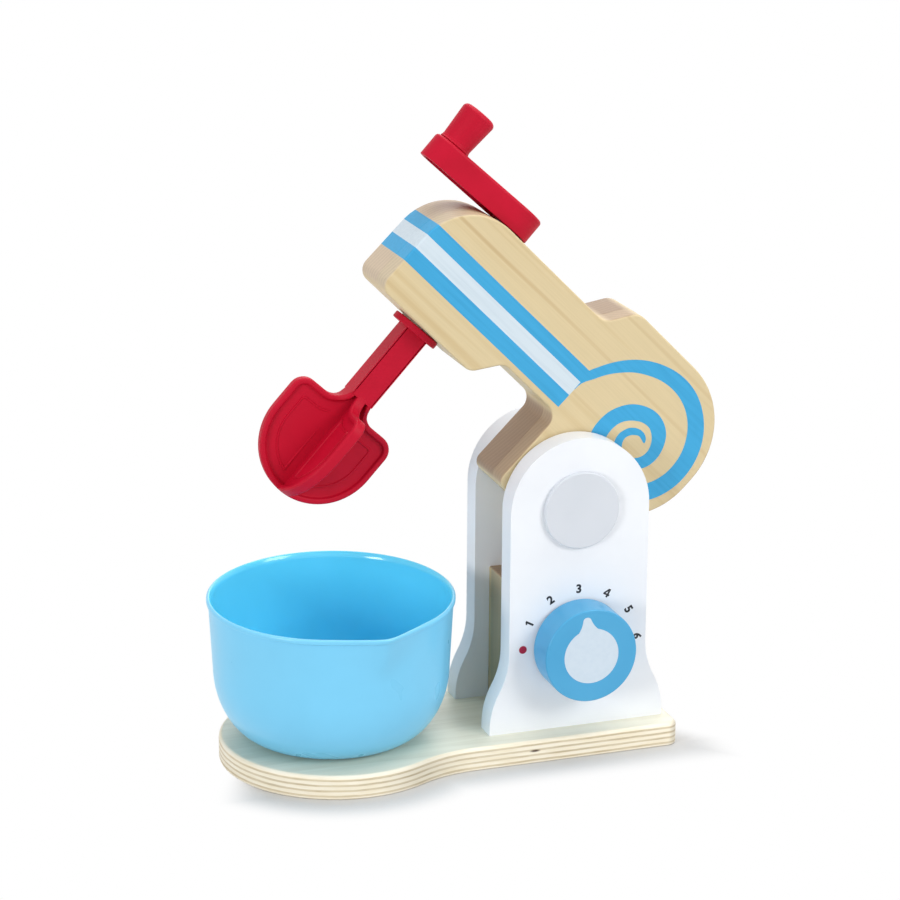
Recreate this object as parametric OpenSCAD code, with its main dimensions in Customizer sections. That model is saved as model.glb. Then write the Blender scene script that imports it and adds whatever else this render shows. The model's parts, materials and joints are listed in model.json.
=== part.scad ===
// Wooden toy stand mixer: a plywood base carries two arched uprights, a glued
// wooden head tilts between them, a crank on the head turns a beater, a dial
// sits on the front upright and a loose plastic bowl stands on the base.
// Millimetres, +Z up, +X from the bowl to the uprights, the dial faces -Y.
// The origin is the middle of the base board's length, on its underside.

/* [Base board] */
// Length of the base board
base_l = 222; // [212:1:240]
// Thickness of the base board
base_t = 12; // [9:0.5:18]
// Radius of the round end under the bowl
round_r = 58; // [54:0.5:66]
// Width of the narrow end under the uprights
narrow_w = 87; // [84:0.5:100]
// Radius of the hollow curve between the round and the narrow end
waist_r = 60; // [40:1:80]
// Corner radius of the narrow end
end_corner_r = 6; // [2:0.5:12]

/* [Uprights] */
// Thickness of each upright
upright_t = 12; // [10:0.5:16]
// Width of each upright, and of its round top
upright_w = 71.6; // [66:0.2:80]
// Width of the flared foot
foot_w = 91; // [86:0.5:98]
// Height of the foot where the flare starts
foot_low_h = 13; // [8:0.5:18]
// Height of the foot where the flare ends
foot_high_h = 30.5; // [26:0.5:40]
// Radius of the flare's two curves
foot_curve_r = 40; // [20:1:42]
// Distance from the base's narrow end to the middle of the uprights
stand_inset = 50.2; // [50:0.2:56]

/* [Spacer block and stop] */
// Length of the block between the uprights
block_l = 56.6; // [40:0.2:64]
// Height of the block
block_h = 69.5; // [60:0.5:70]
// Diameter of the dowel that stops the head
stop_d = 10; // [8:0.5:12]
// Distance of the stop dowel in front of the pivot
stop_ahead = 14.5; // [12:0.5:16]
// Depth of the dowel in each upright
stop_depth = 6; // [4:0.5:8]

/* [Head] */
// Height of the pivot above the base board
pivot_h = 112; // [110:0.5:120]
// Lift of the head at rest, from level
head_raise = 45; // [20:1:50]
// Thickness of the rear board of the head
rear_board_t = 24; // [18:0.5:30]
// Thickness of the front board of the head
front_board_t = 12; // [8:0.5:16]
// Gap between the head and each upright
side_gap = 1.25; // [0.9:0.05:2]
// Reach of the nose in front of the pivot
nose_reach = 150; // [144:0.5:160]
// Height of the chin above the pivot
chin_h = 11.9; // [8:0.1:16]
// Height of the head's top above the pivot
top_h = 73.7; // [68:0.1:80]
// Height of the rear hump above the pivot
hump_h = 88.8; // [84:0.1:96]
// Reach of the rounded back behind the pivot
back_reach = 41.9; // [38:0.1:46]
// Height of the throat between chin and neck
throat_h = 26; // [22:0.2:30]
// Reach of the neck in front of the pivot
neck_reach = 36.8; // [33:0.2:40]
// Depth of the heel below the pivot
heel_drop = 17.5; // [15:0.1:19]
// Depth of the tail that meets the stop when the head is up
tail_drop = 29; // [28:0.2:31]

/* [Drive] */
// Distance of the drive shaft behind the nose, at the chin
drive_inset = 35.6; // [32:0.2:38]
// Lean of the drive shaft towards the nose
drive_lean = 2.5; // [0:0.1:3]
// Turn of the crank about the drive shaft at rest
crank_turn = -8; // [-20:1:20]
// Diameter of the drive shaft
shaft_d = 8; // [6:0.5:9]
// Outer diameter of the shaft's bushes
bush_d = 14; // [12:0.5:16]
// Length of each bush
bush_l = 12; // [8:0.5:16]

/* [Crank] */
// Distance from the drive shaft to the crank's knob
crank_throw = 43.2; // [38:0.2:46]
// Radius of the arm's end over the shaft
hub_r = 13.5; // [12:0.1:15]
// Radius of the arm's end under the knob
arm_end_r = 10; // [9.4:0.1:12]
// Height of the arm
arm_h = 12.5; // [11:0.1:15]
// Wall of the hollow arm
arm_wall = 2.2; // [1.6:0.1:3]
// Height of the knob
knob_h = 20; // [18:0.2:26]
// Radius of the knob at its foot
knob_foot_r = 8; // [7.4:0.1:9]
// Radius of the knob near its top
knob_top_r = 9; // [8:0.1:11]
// Diameter of the knob's stud
stud_d = 6; // [4:0.2:7]

/* [Beater] */
// Radius of the beater's collar
collar_r = 12.6; // [10:0.1:14]
// Thickness of the collar
collar_t = 2; // [1.4:0.1:3]
// Side of the beater's square shank
shank_w = 13; // [11.6:0.1:14]
// Distance from the chin to the end of the shank
shank_end = 44.5; // [42:0.5:45]
// Distance from the chin to the top of the blades
blade_top = 51.6; // [50:0.2:54]
// Height of the blades
blade_h = 50.6; // [44:0.2:52]
// Width of the blades from rim to rim
blade_w = 60.6; // [54:0.2:62]
// Thickness of a blade's web
web_t = 2.4; // [1.6:0.1:3.4]
// Thickness of a blade's rim
rim_t = 4.6; // [3.6:0.1:6]
// Width of a blade's rim
rim_w = 3; // [2:0.1:4]
// Turn of the shank and the blades from the crank arm's line
beater_turn = 5; // [0:1:10]

/* [Dial and caps] */
// Height of the dial's centre above the base board
dial_h = 43; // [38:0.5:46]
// Radius of the dial
dial_r = 23.6; // [20:0.1:26]
// Thickness of the dial
dial_t = 17; // [14:0.5:22]
// Diameter of the dial's axle
axle_d = 8; // [6:0.5:10]
// Radius of the caps over the pivot
cap_r = 19.3; // [16:0.1:22]
// Thickness of the caps
cap_t = 2.5; // [1.5:0.1:4]

/* [Bowl] */
// Radius of the bowl at its rim
bowl_r = 60.3; // [56:0.1:62]
// Height of the bowl
bowl_h = 72.4; // [66:0.2:78]
// Radius of the bowl's flat bottom
bowl_flat_r = 33.5; // [28:0.5:40]
// Height of the curve between bottom and wall
bowl_curve_h = 36; // [24:0.5:44]
// Widening of the wall from the curve to the rim
bowl_taper = 1.7; // [0.6:0.1:4]
// Wall of the bowl
bowl_wall = 2.2; // [1.6:0.1:3]
// Step of the lip round the rim
lip_step = 0.9; // [0.5:0.1:1.4]
// Height of the lip
lip_h = 2.6; // [2:0.1:4]
// Reach of the pouring spout beyond the rim
spout_reach = 8; // [5:0.5:10]
// Height of the spout
spout_h = 24; // [16:0.5:30]
// Bearing of the spout about the bowl
spout_bearing = -85; // [-180:1:180]
// Offset of the bowl from the middle of the round end
bowl_shift = -2.7; // [-4:0.1:0]

/* [Hardware] */
// Diameter of the pivot bolt
bolt_d = 6; // [5:0.5:8]
// Depth of the recess for the bolt's head and nut
recess_depth = 7; // [6.8:0.1:7.4]
// Diameter of the recess
recess_d = 22; // [20:0.5:26]
// Outer diameter of the washers in the recess
washer_d = 18; // [14:0.5:19]
// Thickness of those washers
washer_t = 1.2; // [0.8:0.1:1.4]
// Diameter of the base screws
screw_d = 4; // [3:0.2:5]
// Reach of the base screws above the base board
screw_reach = 25; // [18:0.5:32]

/* [Clearances] */
// Radial clearance of turning shafts
run_clear = 0.05; // [0.02:0.01:0.1]
// Radial clearance of glued and driven pieces
glue_clear = 0.02; // [0.01:0.01:0.04]
// Gap between pieces that move past each other
rest_gap = 0.3; // [0.2:0.05:0.5]

/* [Hidden] */
$fn = 96;
// Largest turn between two points of a drawn curve
arc_step = 5;
// Overlap of a cutting shape beyond the face that it cuts
cut = 1;
wood_white = "#EEF1F8";
wood_pine = "#DEC89B";
wood_ply = "#E6DCC3";
red = "#BE1E37";
blue = "#5AB4E6";
bare_steel = "#B4B8BC";
nylon = "#E8E6DE";

// Main planes and places
head_t = front_board_t + rear_board_t;
inner_y = head_t / 2 + side_gap;
outer_y = inner_y + upright_t;
stand_x = base_l / 2 - stand_inset;
round_x = round_r - base_l / 2;
bowl_x = round_x + bowl_shift;
pivot_z = base_t + pivot_h;
dial_z = base_t + dial_h;
glue_y = front_board_t - head_t / 2;

// Stop dowel, below the heel when the head is level
stop_r = stop_d / 2;
stop_drop = heel_drop + rest_gap + stop_r;
// Reach of the dowel behind the pivot, seen by the head when it is raised
stop_back = stop_drop * sin(head_raise) - stop_ahead * cos(head_raise);
tail_front = stop_back + stop_r + rest_gap;
tail_t = 14.8;

// Drive, measured along the shaft from the chin
drive_reach = nose_reach - drive_inset;
crown_s = (top_h - chin_h) / cos(drive_lean);
arm_lift = 0.9;
arm_s = crown_s + arm_lift;
arm_top_s = arm_s + arm_h;
collar_s = -(collar_r * sin(drive_lean) + rest_gap) - collar_t;
arm_roof = 2.5;
boss_wall = 3;
boss_r = shaft_d / 2 + boss_wall;
screw_head_r = 3.4;
screw_head_h = 2;
screw_floor = 1.4;
recess_s = arm_top_s - screw_head_h - 2 * rest_gap;
socket_top_s = recess_s - screw_floor;
shank_floor = 4;
socket_end_s = shank_floor - shank_end;
flat_x = 0.375 * shaft_d;
bush_inset = bush_d / 2 * sin(drive_lean) + rest_gap;
knob_s = arm_top_s + rest_gap;
knob_edge_r = 2.5;
stud_grip = 12;
stud_catch = 1.2;
stud_head_r = stud_d / 2 + stud_catch;
stud_head_h = 1.8;

// Dial
dial_gap = 1;
dial_back_y = -outer_y - dial_gap;
dial_front_y = dial_back_y - dial_t;
axle_inside = 6.5;
retainer_wall = 3;
retainer_r = axle_d / 2 + retainer_wall;
retainer_t = 1.5;
socket_room = 1.5;
socket_r = retainer_r + socket_room;
socket_depth = axle_inside + socket_room;

// Outlines with rounded corners

function unit(v) = v / norm(v);

function short_turn(a) = a > 180 ? a - 360 : a < -180 ? a + 360 : a;

// Points of an arc about c; without its last point where another curve goes on from there
function arc(c, r, from, to, last = true) =
    let (n = max(2, ceil(abs(to - from) / arc_step)))
    [for (i = [0 : last ? n : n - 1]) let (a = from + (to - from) * i / n) c + r * [cos(a), sin(a)]];

// Points of the arc that rounds corner p, between its neighbours a and b
function corner_arc(a, p, b, r) =
    let (
        ua = unit(a - p),
        ub = unit(b - p),
        half = acos(ua * ub) / 2,
        centre = p + unit(ua + ub) * r / sin(half),
        first = p + ua * r / tan(half) - centre,
        last = p + ub * r / tan(half) - centre,
        from = atan2(first[1], first[0]),
        turn = short_turn(atan2(last[1], last[0]) - from)
    )
    arc(centre, r, from, from + turn);

function flat_point(c) = [c[0], c[1]];

// Closed outline from corners given as [x, y, radius]
function rounded(corners) =
    let (n = len(corners))
    [
        for (i = [0 : n - 1])
            each corner_arc(
                flat_point(corners[(i + n - 1) % n]),
                flat_point(corners[i]),
                flat_point(corners[(i + 1) % n]),
                corners[i][2]
            )
    ];

// Placing and simple shapes

// Plate that stands upright, from y0 to y1, drawn in X and Z
module standing_plate(y0, y1) {
    translate([0, y1, 0]) rotate([90, 0, 0]) linear_extrude(y1 - y0) children();
}

// Rod along Y
module rod_y(r, y0, y1) {
    translate([0, y0, 0]) rotate([-90, 0, 0]) cylinder(r = r, h = y1 - y0);
}

// Ring along Y
module ring_y(r_out, r_in, y0, y1) {
    difference() {
        rod_y(r_out, y0, y1);
        rod_y(r_in, y0 - cut, y1 + cut);
    }
}

module at_pivot() {
    translate([stand_x, 0, pivot_z]) children();
}

module at_dial() {
    translate([stand_x, 0, dial_z]) children();
}

module at_stop() {
    at_pivot() translate([-stop_ahead, 0, -stop_drop]) children();
}

// Frame of the head: the nose points to -X when the head is level
module in_head() {
    at_pivot() rotate([0, head_raise, 0]) children();
}

// Frame of the drive shaft: Z runs up the shaft from the chin
module on_drive() {
    in_head() translate([-drive_reach, 0, chin_h]) rotate([0, -drive_lean, 0]) children();
}

module on_crank() {
    on_drive() rotate([0, 0, crank_turn]) children();
}

module on_knob() {
    on_crank() translate([-crank_throw, 0, 0]) children();
}

// Stand

// Places of the base screws: two in each upright and two in the block
screw_edge = 6;
screw_spread = upright_w / 2 - screw_edge;
block_spread = block_l / 4;
screw_places = [
    for (side = [-1, 1]) each [
        [stand_x + side * screw_spread, -inner_y - upright_t / 2],
        [stand_x + side * screw_spread, inner_y + upright_t / 2],
        [stand_x + side * block_spread, 0]
    ]
];

screw_sink = 0.4;
screw_cone_h = 2.6;

module base_screw(grow) {
    cylinder(r = screw_d / 2 + grow, h = base_t + screw_reach + grow - screw_sink);
    cylinder(r1 = screw_d + grow, r2 = screw_d / 2 + grow, h = screw_cone_h);
}

module screw_holes() {
    for (p = screw_places) translate([p[0], p[1], screw_sink]) base_screw(glue_clear);
}

// Where the hollow waist curve meets the round end
waist_run = sqrt(pow(round_r + waist_r, 2) - pow(narrow_w / 2 + waist_r, 2));
waist_x = round_x + waist_run;
waist_y = narrow_w / 2 + waist_r;

module base_outline() {
    half = narrow_w / 2;
    end_x = base_l / 2;
    // Bearing of the waist curve's centre from the round end's centre
    bearing = atan2(waist_y, waist_run);
    polygon(concat(
        corner_arc([waist_x, -half], [end_x, -half], [end_x, half], end_corner_r),
        corner_arc([end_x, -half], [end_x, half], [waist_x, half], end_corner_r),
        arc([waist_x, waist_y], waist_r, 270, 180 + bearing, last = false),
        arc([round_x, 0], round_r, bearing, 360 - bearing, last = false),
        arc([waist_x, -waist_y], waist_r, 180 - bearing, 90)
    ));
}

module base_board() {
    color(wood_ply) difference() {
        linear_extrude(base_t) base_outline();
        screw_holes();
        // Mouths of the countersunk holes, open to the underside
        for (p = screw_places)
            translate([p[0], p[1], -cut]) cylinder(r = screw_d + glue_clear, h = cut + screw_sink);
    }
}

module upright_outline() {
    half = upright_w / 2;
    foot = foot_w / 2;
    right_edge = concat(
        [[foot, 0]],
        corner_arc([foot, -foot_curve_r], [foot, foot_low_h], [half, foot_high_h], foot_curve_r),
        corner_arc([foot, foot_low_h], [half, foot_high_h], [half, pivot_h], foot_curve_r)
    );
    arch = arc([0, pivot_h], half, 0, 180);
    left_edge = [for (i = [len(right_edge) - 1 : -1 : 0]) [-right_edge[i][0], right_edge[i][1]]];
    translate([stand_x, base_t]) polygon(concat(right_edge, arch, left_edge));
}

// An upright with the holes that both have; side is -1 for the front one
module upright(side) {
    face = side * inner_y;
    back = side * outer_y;
    difference() {
        standing_plate(min(face, back), max(face, back)) upright_outline();
        at_pivot() {
            rod_y(bolt_d / 2 + glue_clear, min(face, back) - cut, max(face, back) + cut);
            floor_y = back - side * recess_depth;
            rod_y(recess_d / 2, min(floor_y, back + side * cut), max(floor_y, back + side * cut));
        }
        at_stop() rod_y(stop_r + glue_clear, -inner_y - stop_depth, inner_y + stop_depth);
        screw_holes();
    }
}

module front_upright() {
    color(wood_white) difference() {
        upright(-1);
        at_dial() rod_y(axle_d / 2 + run_clear, -outer_y - cut, -inner_y + cut);
    }
}

module rear_upright() {
    color(wood_white) upright(1);
}

module spacer_block() {
    color(wood_pine) difference() {
        translate([stand_x - block_l / 2, -inner_y, base_t]) cube([block_l, 2 * inner_y, block_h]);
        // Room for the inner end of the dial's axle
        at_dial() rod_y(socket_r, -inner_y - cut, -inner_y + socket_depth);
        screw_holes();
    }
}

module stop_dowel() {
    reach = inner_y + stop_depth - glue_clear;
    color(wood_pine) at_stop() rod_y(stop_r, -reach, reach);
}

module base_screws() {
    color(bare_steel) for (p = screw_places) translate([p[0], p[1], screw_sink]) base_screw(0);
}

// Pivot hardware

seat_y = outer_y - recess_depth;
washer_y = seat_y + washer_t;
bolt_head_r = 5.25;
bolt_head_h = 3.3;
nut_flats = 10;
nut_h = 5;
socket_flats = 4;
socket_h = 2;

// Radius of the circle round a hexagon
function hex_r(flats) = flats / sqrt(3);

module pivot_bolt() {
    color(bare_steel) at_pivot() difference() {
        union() {
            rod_y(bolt_d / 2, -washer_y - cut, washer_y + nut_h + rest_gap);
            rod_y(bolt_head_r, -washer_y - bolt_head_h, -washer_y);
        }
        translate([0, -washer_y - bolt_head_h - cut, 0]) rotate([-90, 0, 0])
            cylinder(r = hex_r(socket_flats), h = socket_h + cut, $fn = 6);
    }
}

module pivot_nut() {
    color(bare_steel) at_pivot() difference() {
        translate([0, washer_y, 0]) rotate([-90, 0, 0]) cylinder(r = hex_r(nut_flats), h = nut_h, $fn = 6);
        rod_y(bolt_d / 2 + glue_clear, washer_y - cut, washer_y + nut_h + cut);
    }
}

module pivot_washers() {
    color(bare_steel) at_pivot() {
        ring_y(washer_d / 2, bolt_d / 2 + glue_clear, -washer_y, -seat_y);
        ring_y(washer_d / 2, bolt_d / 2 + glue_clear, seat_y, washer_y);
    }
}

// Discs on the uprights' inner faces, a running gap away from the head
module friction_washers() {
    disc_t = side_gap - rest_gap;
    disc_r = 13;
    color(nylon) at_pivot() {
        ring_y(disc_r, bolt_d / 2 + glue_clear, -inner_y, -inner_y + disc_t);
        ring_y(disc_r, bolt_d / 2 + glue_clear, inner_y - disc_t, inner_y);
    }
}

module front_cap() {
    color(wood_white) at_pivot() rod_y(cap_r, -outer_y - cap_t, -outer_y);
}

module rear_cap() {
    color(wood_white) at_pivot() rod_y(cap_r, outer_y, outer_y + cap_t);
}

// Dial

dial_washer_r = 14;

module dial_washer() {
    color(nylon) at_dial() ring_y(dial_washer_r, axle_d / 2 + rest_gap, dial_back_y + rest_gap, -outer_y);
}

axle_socket = 11;

module dial_knob() {
    color(blue) at_dial() difference() {
        rod_y(dial_r, dial_front_y, dial_back_y);
        rod_y(axle_d / 2 + glue_clear, dial_back_y - axle_socket, dial_back_y + cut);
    }
}

module dial_axle() {
    color(wood_pine) at_dial() rod_y(axle_d / 2, dial_back_y - axle_socket + glue_clear, axle_inside - inner_y);
}

module dial_retainer() {
    color(bare_steel) at_dial()
        ring_y(retainer_r, axle_d / 2 + glue_clear, rest_gap - inner_y, rest_gap + retainer_t - inner_y);
}

// Head

// Corners of the head's side view, from the nose over the back to the chin
chin_step_x = -86.5;
throat_x = -75.5;
hump_foot_x = -51.8;
hump_peak_x = -41.1;
back_low_h = 30;
back_end_x = 27.5;
back_end_h = 10.7;
head_corners = [
    [-nose_reach, chin_h, 6.5],
    [-nose_reach, top_h, 30],
    [hump_foot_x, top_h, 9],
    [hump_peak_x, hump_h, 9],
    [back_reach, hump_h, 40.6],
    [back_reach, back_low_h, 38],
    [back_end_x, back_end_h, 8],
    [tail_front + tail_t, -tail_drop, 4],
    [tail_front, -tail_drop, 3],
    [tail_front, -heel_drop, 2],
    [-neck_reach, -heel_drop, 5],
    [-neck_reach, throat_h, 7],
    [throat_x, throat_h, 7],
    [chin_step_x, chin_h, 7]
];

// Bore for the drive shaft, with a seat for a bush at each end
bore_over = 10;

module drive_bore() {
    on_drive() {
        translate([0, 0, -bore_over]) cylinder(r = shaft_d / 2 + cut, h = crown_s + 2 * bore_over);
        translate([0, 0, -bore_over])
            cylinder(r = bush_d / 2 + glue_clear, h = bore_over + bush_inset + bush_l + glue_clear);
        translate([0, 0, crown_s - bush_inset - bush_l - glue_clear])
            cylinder(r = bush_d / 2 + glue_clear, h = bush_l + 2 * bore_over);
    }
}

module head_board(y0, y1) {
    color(wood_pine) difference() {
        in_head() standing_plate(y0, y1) polygon(rounded(head_corners));
        at_pivot() rod_y(bolt_d / 2 + run_clear, y0 - cut, y1 + cut);
        drive_bore();
    }
}

module head_front_board() {
    head_board(-head_t / 2, glue_y);
}

module head_rear_board() {
    head_board(glue_y, head_t / 2);
}

module bush() {
    difference() {
        cylinder(r = bush_d / 2, h = bush_l);
        translate([0, 0, -cut]) cylinder(r = shaft_d / 2 + run_clear, h = bush_l + 2 * cut);
    }
}

module upper_bush() {
    color(nylon) on_drive() translate([0, 0, crown_s - bush_inset - bush_l]) bush();
}

module lower_bush() {
    color(nylon) on_drive() translate([0, 0, bush_inset]) bush();
}

// Crank and beater

// The arm from above: two round ends and their common tangents
module arm_outline(inset) {
    r1 = hub_r - inset;
    r2 = arm_end_r - inset;
    lean = asin((r1 - r2) / crank_throw);
    polygon(concat(
        arc([0, 0], r1, -90 - lean, 90 + lean),
        arc([-crank_throw, 0], r2, 90 + lean, 270 - lean)
    ));
}

// Flat along the rod from s0 to s1, which keys the shaft in the arm and in the beater
module key_flat(grow, s0, s1) {
    translate([flat_x + grow, -shaft_d, s0]) cube([shaft_d, 2 * shaft_d, s1 - s0]);
}

// Socket for a keyed end of the shaft
module key_socket(s0, s1) {
    difference() {
        translate([0, 0, s0]) cylinder(r = shaft_d / 2 + glue_clear, h = s1 - s0);
        key_flat(glue_clear, s0 - cut, s1 + cut);
    }
}

crank_screw_d = 3;
crank_screw_grip = 10;

module crank_arm() {
    color(red) on_crank() difference() {
        union() {
            difference() {
                translate([0, 0, arm_s]) linear_extrude(arm_h) arm_outline(0);
                translate([0, 0, arm_s - cut]) linear_extrude(arm_h - arm_roof + cut) arm_outline(arm_wall);
            }
            translate([0, 0, arm_s]) cylinder(r = boss_r, h = arm_h);
        }
        key_socket(arm_s - cut, socket_top_s);
        translate([0, 0, arm_s]) cylinder(r = crank_screw_d / 2 + glue_clear, h = arm_h + cut);
        translate([0, 0, recess_s]) cylinder(r = screw_head_r + rest_gap, h = arm_h);
        translate([-crank_throw, 0, arm_s]) cylinder(r = stud_d / 2 + glue_clear, h = arm_h + cut);
    }
}

module crank_screw() {
    color(bare_steel) on_crank() {
        translate([0, 0, recess_s]) cylinder(r = screw_head_r, h = screw_head_h);
        translate([0, 0, socket_top_s - crank_screw_grip])
            cylinder(r = crank_screw_d / 2, h = crank_screw_grip + recess_s - socket_top_s + cut);
    }
}

module drive_shaft() {
    color(bare_steel) on_crank() difference() {
        translate([0, 0, socket_end_s + glue_clear])
            cylinder(r = shaft_d / 2, h = socket_top_s - socket_end_s - 2 * glue_clear);
        key_flat(0, socket_end_s - cut, collar_s + collar_t + glue_clear);
        key_flat(0, arm_s - glue_clear, socket_top_s + cut);
        translate([0, 0, socket_top_s - crank_screw_grip - glue_clear])
            cylinder(r = crank_screw_d / 2 + glue_clear, h = crank_screw_grip + cut);
    }
}

// Side view of the blades, drawn from the chin: straight sides, a round
// bottom and rounded shoulders. An inset draws the web's edge.
shoulder_r = 7.5;
neck_curve_r = blade_top - shank_end;

module blade_outline(inset) {
    half = blade_w / 2 - inset;
    top = -blade_top - inset;
    round_s = blade_w / 2 - blade_top - blade_h;
    edge_r = shoulder_r - inset;
    polygon(concat(
        corner_arc([half, round_s], [half, top], [-half, top], edge_r),
        corner_arc([half, top], [-half, top], [-half, round_s], edge_r),
        arc([0, round_s], half, 180, 360)
    ));
}

// Hollow curves between shank and blades
module neck_outline() {
    reach = shank_w / 2 + neck_curve_r;
    difference() {
        translate([-reach, -blade_top - shoulder_r])
            square([2 * reach, neck_curve_r + shoulder_r]);
        for (side = [-1, 1]) translate([side * reach, -shank_end]) circle(r = neck_curve_r);
    }
}

module blade_pair() {
    standing_plate(-web_t / 2, web_t / 2) {
        blade_outline(0);
        neck_outline();
    }
    difference() {
        standing_plate(-rim_t / 2, rim_t / 2) {
            blade_outline(0);
            neck_outline();
        }
        standing_plate(-rim_t, rim_t) blade_outline(rim_w);
    }
}

// Groove along each edge of the shank
groove_w = 0.8;

module shank() {
    difference() {
        translate([-shank_w / 2, -shank_w / 2, -shank_end])
            cube([shank_w, shank_w, shank_end + collar_s + cut]);
        for (x = [-1, 1], y = [-1, 1])
            translate([x * shank_w / 2 - groove_w, y * shank_w / 2 - groove_w, -shank_end - cut])
                cube([2 * groove_w, 2 * groove_w, shank_end + collar_s + cut]);
    }
}

module beater() {
    color(red) on_crank() difference() {
        rotate([0, 0, beater_turn]) {
            translate([0, 0, collar_s]) cylinder(r = collar_r, h = collar_t);
            shank();
            blade_pair();
            rotate([0, 0, 90]) blade_pair();
        }
        key_socket(socket_end_s, collar_s + collar_t + cut);
    }
}

stud_foot_t = 2;
arm_roof_s = arm_top_s - arm_roof;

module knob_stud() {
    color(bare_steel) on_knob() {
        translate([0, 0, arm_roof_s - stud_foot_t]) cylinder(r = stud_d / 2 + 2 * stud_catch, h = stud_foot_t);
        translate([0, 0, arm_roof_s - cut]) cylinder(r = stud_d / 2, h = arm_roof + rest_gap + stud_grip + cut);
        translate([0, 0, knob_s + stud_grip - stud_head_h]) cylinder(r = stud_head_r, h = stud_head_h);
    }
}

module crank_knob() {
    profile = concat(
        [[0, 0], [knob_foot_r, 0]],
        corner_arc([knob_foot_r, 0], [knob_top_r, knob_h], [0, knob_h], knob_edge_r),
        [[0, knob_h]]
    );
    cavity_s = knob_s + stud_grip - stud_head_h - rest_gap;
    color(red) on_knob() difference() {
        translate([0, 0, knob_s]) rotate_extrude() polygon(profile);
        translate([0, 0, knob_s - cut]) cylinder(r = stud_d / 2 + run_clear, h = stud_grip);
        translate([0, 0, cavity_s]) cylinder(r = stud_head_r + rest_gap, h = stud_head_h + 2 * rest_gap);
    }
}

// Bowl

wall_r = bowl_r - lip_step - bowl_taper;
curve_steps = 14;

// Side view of the bowl's outside, from the bottom's middle to the rim
function bowl_curve(inset) = [
    for (i = [0 : curve_steps])
        let (t = 90 * i / curve_steps)
        [
            bowl_flat_r + (wall_r - bowl_flat_r - inset) * sin(t),
            bowl_curve_h - (bowl_curve_h - inset) * cos(t)
        ]
];

module bowl_shell() {
    rotate_extrude() polygon(concat(
        [[0, 0]],
        bowl_curve(0),
        [
            [bowl_r - lip_step, bowl_h - lip_h],
            [bowl_r, bowl_h - lip_h],
            [bowl_r, bowl_h],
            [0, bowl_h]
        ]
    ));
}

module bowl_hollow() {
    rotate_extrude() polygon(concat(
        [[0, bowl_wall]],
        bowl_curve(bowl_wall),
        [
            [bowl_r - lip_step - bowl_wall, bowl_h],
            [bowl_r - lip_step - bowl_wall, bowl_h + cut],
            [0, bowl_h + cut]
        ]
    ));
}

spout_tip_r = 5;

// Wedge of the spout: a tip at the rim drawn down to a point on the wall
module spout_wedge(inset, rise) {
    tip_x = bowl_r + spout_reach - spout_tip_r;
    root_r = bowl_r - lip_step - bowl_wall / 2 - inset;
    hull() {
        translate([0, 0, bowl_h - lip_h]) linear_extrude(lip_h + rise) {
            translate([tip_x, 0]) circle(r = spout_tip_r - inset, $fn = 32);
            intersection() {
                circle(r = root_r, $fn = 96);
                translate([root_r / 2, -root_r]) square([root_r, 2 * root_r]);
            }
        }
        translate([root_r - bowl_taper - 1, 0, bowl_h - spout_h + inset]) sphere(r = 1, $fn = 16);
    }
}

module bowl() {
    color(blue) translate([bowl_x, 0, base_t + rest_gap]) rotate([0, 0, spout_bearing]) difference() {
        union() {
            bowl_shell();
            spout_wedge(0, 0);
        }
        bowl_hollow();
        spout_wedge(bowl_wall, cut);
    }
}

base_board();
front_upright();
rear_upright();
spacer_block();
stop_dowel();
pivot_bolt();
pivot_nut();
pivot_washers();
friction_washers();
front_cap();
rear_cap();
base_screws();
dial_washer();
dial_knob();
dial_axle();
dial_retainer();
head_front_board();
head_rear_board();
upper_bush();
lower_bush();
crank_arm();
crank_screw();
drive_shaft();
beater();
knob_stud();
crank_knob();
bowl();
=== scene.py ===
"""Looks of the wooden toy stand mixer: eased wooden boards, printed stripe and spiral,
moulded red crank and beater, blue bowl, and the studio that they stand in."""

import json
import math

import bmesh
import bpy
from mathutils import Matrix, Vector


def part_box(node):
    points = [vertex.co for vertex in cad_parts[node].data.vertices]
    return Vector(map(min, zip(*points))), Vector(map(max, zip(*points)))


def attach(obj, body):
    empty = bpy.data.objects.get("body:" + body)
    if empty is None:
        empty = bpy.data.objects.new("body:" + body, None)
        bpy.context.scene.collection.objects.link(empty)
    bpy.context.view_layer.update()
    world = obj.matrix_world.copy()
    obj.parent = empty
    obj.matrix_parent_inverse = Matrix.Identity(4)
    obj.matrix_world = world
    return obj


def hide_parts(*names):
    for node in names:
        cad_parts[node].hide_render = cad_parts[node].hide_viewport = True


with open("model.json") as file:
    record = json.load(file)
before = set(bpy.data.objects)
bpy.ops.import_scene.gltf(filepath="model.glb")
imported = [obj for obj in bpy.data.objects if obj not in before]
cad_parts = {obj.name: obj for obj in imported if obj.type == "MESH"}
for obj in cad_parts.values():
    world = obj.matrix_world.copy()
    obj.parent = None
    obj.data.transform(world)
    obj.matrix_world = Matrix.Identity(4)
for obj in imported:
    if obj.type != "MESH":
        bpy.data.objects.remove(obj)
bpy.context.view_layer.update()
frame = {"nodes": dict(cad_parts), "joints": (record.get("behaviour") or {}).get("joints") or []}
nodes = frame["nodes"]
joints = {j["name"]: j for j in frame["joints"]}

MM = 0.001

# Frames of the moving pieces, all at rest

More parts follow.
